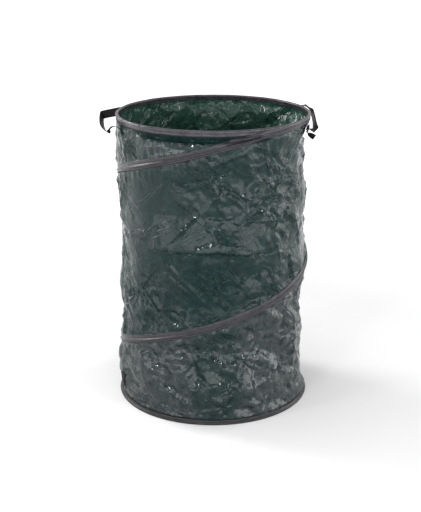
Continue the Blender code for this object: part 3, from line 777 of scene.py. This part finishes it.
def woven_tape(name, colour, shine, roughness, threads=3200.0, width=1.0):
    """Grey woven tape: ribs of thread, worn pale along its raised threads, with painted shade darkening its
    edges.
    """
    material, tree, shader = new_material(name, {"Specular IOR Level": shine})
    crinkle = from_group(tree, fine_crinkle, {"Size": 0.004})
    weave = from_group(tree, plain_weave, {"Threads per metre": threads})
    edge = from_group(tree, edge_painted_shade, {"Width": width})["Edge"]
    # The third colour, near black, is painted shade along the tape's edges.
    deep, worn, rim = (tuple(share * c for c in colour) for share in (0.62, 1.45, 0.12))
    tint = blended(tree, ranged(tree, crinkle["Blotch"], (0.34, 0.66), (0.0, 1.0)), deep, worn)
    polish = ranged(tree, crinkle["Blotch"], (0.0, 1.0), (roughness - 0.10, roughness + 0.08))
    set_sockets(tree, shader, {
        "Base Color": blended(tree, edge, tint, rim),
        "Roughness": calculated(tree, "MULTIPLY_ADD", edge, 0.6, polish),
        "Normal": bumped(tree, weave["Height"], 0.00015, 0.16, bumped(tree, crinkle["Height"], 0.14))})
    return material


hem_tape = woven_tape("hem_tape", (0.026, 0.025, 0.029), 0.26, 0.30)
# The foot's tape is the rim's tape, given a darker colour as painted shade near the ground.
foot_tape_painted_shade = woven_tape("foot_tape_painted_shade", (0.011, 0.011, 0.012), 0.20, 0.34)
spiral_band = woven_tape("spiral_band", (0.022, 0.021, 0.025), 0.20, 0.32, width=0.0242)


def folded_tape(middle, bulge, outer_end, inner_end, outer_side, inner_side, layer):
    """Section of tape folded round a wire, as (radius, z): out one side and back inside."""
    fold_way = 1.0 if outer_end < middle[1] else -1.0
    ways = [math.radians(fold_way * (264.0 * k / 14 - 42.0)) for k in range(15)]
    outer, inner = ([(middle[0] + reach * math.cos(way), middle[1] + reach * math.sin(way)) for way in ways]
                    for reach in (bulge, bulge - layer))
    shares = (0.0, 0.35, 0.7)
    outer_flap = [(outer_side, outer_end + share * (outer[0][1] - outer_end)) for share in shares]
    inner_flap = [(inner_side, inner_end + share * (outer[-1][1] - inner_end)) for share in shares]
    back_inner = [(inner_side + layer, z) for _, z in inner_flap]
    back_outer = [(outer_side - layer, z) for _, z in outer_flap]
    section = outer_flap + outer + inner_flap[::-1] + back_inner + inner[::-1] + back_outer[::-1]
    return np.array(section)


def tape_round(radius, z, wire_z, flap_z, pucker, pucker_share, hang, sway):
    """Places all round a folded tape, whose flap wavers more than its fold."""
    loose = np.clip((z - wire_z) / (flap_z - wire_z), 0.0, 1.0)
    out = radius + pucker * (pucker_share + loose) + sway * (1.0 - loose)
    return ring_points(out, hoop_angles, z + hang * loose + 0.3 * sway)


rim_hang = 0.0011 * wave(hoop_round, (1.9, 0.83, 0.37, 0.21), 21)
rim_sway = 0.0005 * wave(hoop_round, (1.3, 0.45, 0.19), 22)
rim_pucker = 0.0005 * wave(hoop_round, (0.047, 0.061, 0.083), 23)


def on_rim_tape(radius, z):
    return tape_round(radius, z, rim_wire_z, rim_flap_foot, rim_pucker, 0.35, rim_hang, rim_sway)


rim_section = folded_tape((rim_wire_radius, rim_wire_z), rim_bulge, rim_flap_foot, rim_flap_inner_foot,
                          rim_outer_side, rim_inner_side, tape_layer)
rim_tape = swept_piece("rim_tape", on_rim_tape(*rim_section.T), True, hem_tape)
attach(rim_tape, "rim")
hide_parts("rim_casing")

# The foot's casing is the same tape, folded round the lower hoop and sewn to the
# wall and to the floor cloth. It stands a little outside the wall and lies on the ground.
base_wire_radius = 0.2283
base_wire_z = 0.0037
base_flap_head = 0.0132
base_flap_inner_head = 0.0100
base_outer_side = 0.2268
base_inner_side = 0.2244
base_pucker = 0.0004 * wave(hoop_round, (0.052, 0.071, 0.09), 31)
base_hang = 0.0009 * wave(hoop_round, (1.1, 0.43, 0.23), 32)


def on_base_tape(radius, z):
    return tape_round(radius, z, base_wire_z, base_flap_head, base_pucker, 0.3, base_hang, 0.0)


base_section = folded_tape((base_wire_radius, base_wire_z), base_wire_z, base_flap_head,
                           base_flap_inner_head, base_outer_side, base_inner_side, tape_layer)
base_tape = swept_piece("base_tape", on_base_tape(*base_section.T), True, foot_tape_painted_shade)
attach(base_tape, "base")
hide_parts("base_casing")

# The spiral's casing is one long strip of the tape, sewn flat on the outside of the
# wall along both edges, with the spiral wire in a tunnel along its middle.
spiral_first_turn = 11.0
spiral_last_turn = 638.0
spiral_tunnel = 0.0027
spiral_station_step = 1.5
tape_below = 0.0080
tape_above = 0.0122
tape_over_rim = 0.0016
tape_over_foot = 0.0014
overlap_fade = 0.004
tunnel_turns = np.radians(np.linspace(-62.0, 62.0, 9))
spiral_section = [(-tape_below, 0.0002), (-tape_below + 0.0004, 0.0014), (-0.0064, 0.0016),
                  (-0.0050, 0.0007), (-0.0036, 0.0010)]
spiral_section += [(spiral_tunnel * math.sin(turn), 0.0007 + spiral_tunnel * math.cos(turn) * 1.25)
                   for turn in tunnel_turns]
spiral_section += [(0.0037, 0.0008), (0.0050, 0.0006), (0.0066, 0.0013), (0.0088, 0.0014),
                   (0.0100, 0.0006), (tape_above - 0.0008, 0.0016), (tape_above, 0.0010),
                   (tape_above, 0.0001), (0.0060, -0.0001), (0.0, -0.0001), (-0.0050, -0.0001)]
spiral_turn_list = np.arange(spiral_first_turn, spiral_last_turn, spiral_station_step)
spiral_edge_wave = 0.0009 * wave(np.radians(spiral_turn_list), (1.4, 0.61, 0.27, 0.16), 41)
spiral_pucker = 0.00075 * wave(np.radians(spiral_turn_list), (0.043, 0.058, 0.077), 42)
spiral_pucker = np.abs(spiral_pucker) * (1.0 + 1.6 * np.exp(-((spiral_turn_list - 92.0) / 13.0) ** 2))
spiral_stations = list(zip(spiral_turn_list, spiral_edge_wave, spiral_pucker))


def across_spiral(turn, edge, pucker, section):
    """Points of a section (up the wall, out from it) laid across the spiral at a turn."""
    section = np.array(section)
    drop = float(spiral_height(turn - 1.0) - spiral_height(turn + 1.0))
    slope = math.atan2(drop, math.radians(2.0) * wall_foot_radius)
    v = section[:, 0] + np.sign(section[:, 0]) * np.clip(np.abs(section[:, 0]) - 0.004, 0, 1) * edge * 90.0
    z = float(spiral_height(turn)) + v * math.cos(slope)
    angle = spiral_start - turn - np.degrees(v * math.sin(slope) / wall_foot_radius)
    flat = np.clip(np.abs(v) / 0.0055, 0.0, 1.0)
    seat = wall_radius(z) * (1.0 - flat) + np.minimum(cloth_at(angle, z), wall_radius(z)) * flat
    over_rim = tape_over_rim * smooth((z - rim_flap_foot + overlap_fade) / overlap_fade)
    over_foot = tape_over_foot * smooth((base_flap_head + overlap_fade - z) / overlap_fade)
    out = seat + over_rim + over_foot + section[:, 1] + pucker * np.clip(np.abs(v) / 0.006, 0.0, 1.0)
    return ring_points(out, angle, np.clip(z, 0.0012, rim_wire_z))


spiral_rings = [across_spiral(*station, spiral_section) for station in spiral_stations]
spiral_tape = swept_piece("spiral_tape", spiral_rings, False, spiral_band)
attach(spiral_tape, "base")
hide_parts("spiral_casing")
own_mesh(spiral_tape)

# The wall's one upright seam is folded to the inside and sewn twice. It shows as a
# ridge down the inner face at the left of the bag.
seam_half_width = 0.006
seam_ridge = 0.0014


def upright_strip(heights, angle, half_width, shares, depths):
    """Rings of a narrow strip up the wall: shares of its half width, and how far out of the cloth."""
    angles = angle + math.degrees(half_width / wall_foot_radius) * np.array(shares)
    return [ring_points(cloth_at(angles, height) + np.array(depths), angles, height) for height in heights]


seam_depths = [-cloth_thickness - depth for depth in (0.0, 0.0, 0.0, 0.0, 0.0011, seam_ridge, 0.0013, 0.0010)]
seam_rings = upright_strip(np.arange(0.012, 0.6815, 0.004), seam_angle, seam_half_width,
                           (-1.0, -0.4, 0.4, 1.0, 1.0, 0.4, -0.4, -1.0), seam_depths)
wall_seam = swept_piece("wall_seam", seam_rings, False, cloth_inside)
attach(wall_seam, "base")
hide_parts("side_seam")
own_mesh(wall_seam)

# The floor is a round of the same tarpaulin, sewn into the foot's casing. It lies
# slack on the ground with a few soft creases.
floor_edge = 0.2262
floor_rings, floor_spokes = 44, 180
ring_share = (np.arange(1, floor_rings + 1) / floor_rings)[:, None]
spoke = (np.arange(floor_spokes) * math.tau / floor_spokes)[None, :]
floor_x = floor_edge * ring_share * np.cos(spoke)
floor_y = floor_edge * ring_share * np.sin(spoke)


def floor_wave(x, y):
    """Broad soft creases with smaller ones on them."""
    broad = noise.noise(Vector((x * 16.0, y * 16.0, 4.2)))
    return broad + 0.5 * noise.noise(Vector((x * 45.0, y * 45.0, 8.1)))


floor_lift_off = np.array([floor_wave(x, y) for x, y in zip(floor_x.ravel(), floor_y.ravel())])
floor_lift_off = np.abs(floor_lift_off).reshape(floor_x.shape)
floor_z = 0.0012 + 0.0022 * floor_lift_off * smooth((1.0 - ring_share) / 0.12)
floor_points = [(0.0, 0.0, 0.0014)] + np.stack([floor_x, floor_y, floor_z], axis=-1).reshape(-1, 3).tolist()
floor_faces = [(0, 1 + k, 1 + (k + 1) % floor_spokes) for k in range(floor_spokes)]
for ring in range(floor_rings - 1):
    near, far = 1 + ring * floor_spokes, 1 + (ring + 1) * floor_spokes
    floor_faces += [(near + k, far + k, far + (k + 1) % floor_spokes, near + (k + 1) % floor_spokes)
                    for k in range(floor_spokes)]
floor_sheet_mesh = bpy.data.meshes.new("floor_cloth")
floor_sheet_mesh.from_pydata(floor_points, [], floor_faces)
floor_uv = np.array([floor_points[loop.vertex_index][:2] for loop in floor_sheet_mesh.loops])
add_uv(floor_sheet_mesh, "cloth", floor_uv)
floor_sheet_mesh.shade_smooth()
floor_sheet_mesh.materials.append(cloth_inside)
floor_cloth = link_piece("floor_cloth", floor_sheet_mesh)
floor_thicken = floor_cloth.modifiers.new("cloth", "SOLIDIFY")
floor_thicken.thickness = cloth_thickness
floor_thicken.offset = -1.0
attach(floor_cloth, "base")
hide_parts("floor_panel")

# The handles are loops of black webbing. Each end is sewn flat on the wall under the
# rim's tape, and the loop stands out to the side, turned on edge along the grip.
webbing_width = 0.020
webbing_thickness = 0.0011
black_webbing = woven_tape("black_webbing", (0.0042, 0.0042, 0.0046), 0.13, 0.50, threads=2400.0)
foot_place = (0.2138, 0.0821)

# Points along each strip of webbing, each with the way that its width points there.
left_stations = (
    ((-0.2138, 0.0821, 0.6705), (-0.36, -0.93, 0.0)), ((-0.2138, 0.0821, 0.6800), (-0.36, -0.93, 0.0)),
    ((-0.2180, 0.0830, 0.6835), (-0.30, -0.80, -0.5)), ((-0.2270, 0.0825, 0.6800), (-0.2, -0.4, -0.9)),
    ((-0.2400, 0.0815, 0.6772), (-0.1, -0.1, -1.0)), ((-0.2545, 0.0805, 0.6745), (0.15, 0.0, -1.0)),
    ((-0.2645, 0.0795, 0.6723), (0.35, 0.0, -0.93)), ((-0.2668, 0.0760, 0.6712), (0.40, 0.0, -0.92)),
    ((-0.2666, 0.0680, 0.6706), (0.42, 0.0, -0.90)), ((-0.2652, 0.0480, 0.6692), (0.47, 0.0, -0.88)),
    ((-0.2637, 0.0300, 0.6676), (0.52, 0.0, -0.85)), ((-0.2608, 0.0050, 0.6655), (0.58, 0.0, -0.81)),
    ((-0.2570, -0.0220, 0.6645), (0.64, 0.0, -0.76)), ((-0.2520, -0.0470, 0.6638), (0.68, 0.1, -0.72)),
    ((-0.2455, -0.0670, 0.6630), (0.62, 0.4, -0.62)), ((-0.2400, -0.0765, 0.6640), (0.3, 0.85, -0.4)),
    ((-0.2360, -0.0790, 0.6695), (0.0, 0.95, -0.31)), ((-0.2300, -0.0800, 0.6750), (0.0, 0.95, -0.31)),
    ((-0.2215, -0.0815, 0.6762), (-0.1, 0.95, -0.2)), ((-0.2146, -0.0824, 0.6740), (-0.36, 0.93, 0.0)),
    ((-0.2138, -0.0821, 0.6705), (-0.36, 0.93, 0.0)),
)
right_stations = (
    ((0.2138, 0.0821, 0.6705), (-0.36, 0.93, 0.0)), ((0.2138, 0.0821, 0.6850), (-0.36, 0.93, 0.0)),
    ((0.2150, 0.0826, 0.6930), (-0.36, 0.90, -0.1)), ((0.2200, 0.0825, 0.6955), (-0.2, 0.9, -0.3)),
    ((0.2270, 0.0815, 0.6915), (0.0, 0.95, -0.31)), ((0.2335, 0.0795, 0.6860), (0.0, 0.85, -0.5)),
    ((0.2375, 0.0740, 0.6800), (-0.1, 0.35, -0.93)), ((0.2385, 0.0640, 0.6765), (-0.2, 0.0, -0.98)),
    ((0.2382, 0.0300, 0.6727), (-0.25, 0.0, -0.97)), ((0.2362, -0.0130, 0.6685), (-0.35, 0.2, -0.85)),
    ((0.2347, -0.0450, 0.6668), (-0.42, 0.5, -0.65)), ((0.2352, -0.0670, 0.6660), (-0.33, 0.80, -0.45)),
    ((0.2330, -0.0775, 0.6660), (0.0, 0.90, -0.42)), ((0.2260, -0.0822, 0.6690), (0.0, 0.88, -0.47)),
    ((0.2190, -0.0828, 0.6712), (0.2, 0.92, -0.3)), ((0.2145, -0.0824, 0.6735), (0.36, 0.93, 0.0)),
    ((0.2138, -0.0821, 0.6705), (0.36, 0.93, 0.0)),
)
tail_stations = (
    ((0.2160, -0.0829, 0.6800), (0.36, 0.93, 0.0)), ((0.2156, -0.0827, 0.6690), (0.36, 0.93, 0.0)),
    ((0.2152, -0.0815, 0.6655), (0.3, 0.92, -0.2)), ((0.2180, -0.0800, 0.6600), (0.1, 0.8, -0.6)),
    ((0.2250, -0.0790, 0.6545), (-0.1, 0.7, -0.7)), ((0.2315, -0.0785, 0.6505), (-0.12, 0.68, -0.72)),
)


def eased_line(points, steps):
    """A smooth line through the points, with the given number of steps between two of them."""
    points = np.asarray(points, dtype=float)
    padded = np.concatenate([2 * points[:1] - points[1:2], points, 2 * points[-1:] - points[-2:-1]])
    line = []
    for before, start, end, after in zip(padded, padded[1:], padded[2:], padded[3:]):
        for t in np.arange(steps) / steps:
            line.append(0.5 * (2 * start + (end - before) * t
                               + (2 * before - 5 * start + 4 * end - after) * t ** 2
                               + (3 * start - before - 3 * end + after) * t ** 3))
    line.append(points[-1])
    return np.array(line)


def webbing_strip(name, stations, steps):
    """Flat webbing along a line, turned as each station says, with thin woven edges."""
    middles = eased_line([place for place, _ in stations], steps)
    across = eased_line([np.array(way) / np.linalg.norm(way) for _, way in stations], steps)
    ahead = np.gradient(middles, axis=0)
    ahead /= np.linalg.norm(ahead, axis=1)[:, None]
    across -= 0.6 * ahead * np.sum(ahead * across, axis=1)[:, None]
    across /= np.linalg.norm(across, axis=1)[:, None]
    face = np.cross(ahead, across)
    face /= np.linalg.norm(face, axis=1)[:, None]
    shape = [(-1.0, 0.0), (-0.97, 0.45), (-0.6, 0.5), (-0.2, 0.5), (0.2, 0.5), (0.6, 0.5), (0.97, 0.45)]
    shape += [(-u, -v) for u, v in shape]
    rings = [[middle + side * u * webbing_width / 2 + up * v * webbing_thickness for u, v in shape]
             for middle, side, up in zip(middles, across, face)]
    return swept_piece(name, rings, False, black_webbing)


for side_name, stations, sign in (("left", left_stations, -1.0), ("right", right_stations, 1.0)):
    handle = side_name + "_handle"
    loop = webbing_strip(handle + "_loop", stations, 6)
    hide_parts(handle, handle + "_rear_foot", handle + "_front_foot")
    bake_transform(loop)
loose_end = webbing_strip("right_handle_loose_end", tail_stations, 6)
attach(loose_end, "rim")
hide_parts("right_handle_tail")

# A short webbing tab is caught in the side seam near the foot, where the folded
# bag is tied shut.
tab_angle = 201.5
tab_half_width = 0.0100
tab_rings = upright_strip(np.arange(0.030, 0.0701, 0.004), tab_angle, tab_half_width,
                          (-1.0, -0.5, 0.5, 1.0, 1.0, 0.5, -0.5, -1.0),
                          (0.0002, 0.0003, 0.0003, 0.0002, 0.0014, 0.0016, 0.0016, 0.0014))
seam_tab = swept_piece("seam_tab", tab_rings, False, black_webbing)
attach(seam_tab, "base")
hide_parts("base_tab")
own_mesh(seam_tab)

# Lockstitch in dark polyester thread holds the tapes, the seam and the handles' feet.
# Each row is a line on the cloth that a node tree sets with short rounded stitches.
stitch_spacing = 0.0045
stitch_length = 0.0034
thread_radius = 0.00034
thread_out = 0.0002
thread_colour, thread_tree, thread_shader = new_material("polyester_thread", {
    "Roughness": 0.55, "Specular IOR Level": 0.3})


def object_grain(tree, scale):
    """Fine noise through the piece, on its own coordinates."""
    return add_node(tree, "ShaderNodeTexNoise", {"Scale": scale, "Vector": object_place(tree)}).outputs["Fac"]


set_sockets(thread_tree, thread_shader, {"Base Color": blended(
    thread_tree, object_grain(thread_tree, 1400.0), (0.010, 0.010, 0.011), (0.045, 0.045, 0.048))})


def stitch_group():
    """Rounded stitches at even steps along the lines of a mesh."""
    group, given, result = new_group("stitch_rows", "GeometryNodeTree", [
        ("Geometry", "Geometry"), ("Spacing", "Float"), ("Length", "Float"), ("Thread radius", "Float"),
        ("Material", "Material")], [("Geometry", "Geometry")])
    line = add_node(group, "GeometryNodeMeshToCurve", {"Mesh": given["Geometry"]}).outputs["Curve"]
    even = add_node(group, "GeometryNodeResampleCurve", {"Curve": line, "Length": given["Spacing"]},
                    mode="LENGTH")
    tangent = add_node(group, "GeometryNodeInputTangent", {}).outputs["Tangent"]
    turned = add_node(group, "FunctionNodeAlignRotationToVector", {"Vector": tangent}, axis="Z")
    stitch = add_node(group, "GeometryNodeMeshUVSphere", {"Segments": 6, "Rings": 5})
    size = add_node(group, "ShaderNodeCombineXYZ", {
        "X": given["Thread radius"], "Y": given["Thread radius"],
        "Z": calculated(group, "MULTIPLY", given["Length"], 0.5)})
    placed = add_node(group, "GeometryNodeInstanceOnPoints", {
        "Points": even.outputs["Curve"], "Instance": stitch.outputs["Mesh"],
        "Rotation": turned.outputs["Rotation"], "Scale": size.outputs["Vector"]})
    real = add_node(group, "GeometryNodeRealizeInstances", {"Geometry": placed.outputs["Instances"]})
    coloured = add_node(group, "GeometryNodeSetMaterial", {
        "Geometry": real.outputs["Geometry"], "Material": given["Material"]})
    set_sockets(group, result, {"Geometry": coloured.outputs["Geometry"]})
    return group


stitch_rows = stitch_group()


def stitched(name, lines):
    """One piece of stitches along lines, each a list of points and whether it is closed."""
    points, edges = [], []
    for line, closed in lines:
        first = len(points)
        points += [tuple(point) for point in line]
        edges += [(k, k + 1) for k in range(first, len(points) - 1)]
        if closed:
            edges.append((len(points) - 1, first))
    mesh = bpy.data.meshes.new(name + "_lines")
    mesh.from_pydata(points, edges, [])
    rows = link_piece(name, mesh)
    sewn = rows.modifiers.new("stitches", "NODES")
    sewn.node_group = stitch_rows
    values = {"Spacing": stitch_spacing, "Length": stitch_length, "Thread radius": thread_radius,
              "Material": thread_colour}
    for item in stitch_rows.interface.items_tree:
        if item.in_out == "INPUT" and item.name in values:
            sewn[item.identifier] = values[item.name]
    evaluated = rows.evaluated_get(bpy.context.evaluated_depsgraph_get())
    plain = bpy.data.meshes.new_from_object(evaluated)
    rows.modifiers.remove(sewn)
    rows.data = plain
    plain.name = name
    plain.shade_smooth()
    return rows


rim_lines = []
for side_radius, side_z in ((rim_outer_side + thread_out, 0.0022), (rim_inner_side - thread_out, 0.0046)):
    rim_lines.append((on_rim_tape(side_radius, rim_flap_foot + side_z)[:, 0], True))
for foot_way in (21.0, 159.0, 201.0, 339.0):
    beside = ring_points(1.0, foot_way + 90.0, 0.0)
    middle = ring_points(math.hypot(*foot_place) + webbing_thickness / 2 + thread_out, foot_way, 0.0)
    corners = [(-0.0078, 0.6720), (0.0078, 0.6720), (0.0078, 0.6790), (-0.0078, 0.6790), (0.0078, 0.6720)]
    rim_lines.append(([middle + beside * u + np.array([0.0, 0.0, z]) for u, z in corners], False))
rim_stitches = stitched("rim_stitches", rim_lines)
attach(rim_stitches, "rim")

base_row_z = 0.0108
base_line = on_base_tape(base_outer_side + thread_out, base_row_z)[:, 0]
base_stitches = stitched("base_stitches", [(base_line, True)])
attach(base_stitches, "base")

spiral_row_section = ((-0.0050, 0.0009), (0.0100, 0.0008))
spiral_rows = np.array([across_spiral(*station, spiral_row_section) for station in spiral_stations[4:-14]])
wall_lines = [(spiral_rows[:, 0], False), (spiral_rows[:, 1], False)]
row_heights = np.arange(0.014, 0.6790, 0.002)
for offset in (-0.4, 0.4):
    row_angle = seam_angle + offset * math.degrees(seam_half_width / wall_foot_radius)
    reach = cloth_at(row_angle, row_heights) - cloth_thickness - seam_ridge - thread_out
    wall_lines.append((ring_points(reach, row_angle, row_heights), False))
wall_stitches = stitched("wall_stitches", wall_lines)
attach(wall_stitches, "base")
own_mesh(wall_stitches)

# The hoops and the spiral are spring steel wire, and each hoop's ends meet in a
# crimped steel sleeve. All of it lies hidden inside the casings.
spring_wire, wire_tree, wire_shader = new_material("spring_wire", {"Metallic": 1.0})
wire_grain = object_grain(wire_tree, 900.0)
set_sockets(wire_tree, wire_shader, {
    "Base Color": blended(wire_tree, wire_grain, (0.30, 0.30, 0.31), (0.55, 0.55, 0.56)),
    "Roughness": ranged(wire_tree, wire_grain, (0.0, 1.0), (0.22, 0.42))})
for wire_node in ("rim_wire", "rim_ferrule", "base_wire", "base_ferrule", "spiral_wire"):
    for wire_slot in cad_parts[wire_node].material_slots:
        wire_slot.material = spring_wire
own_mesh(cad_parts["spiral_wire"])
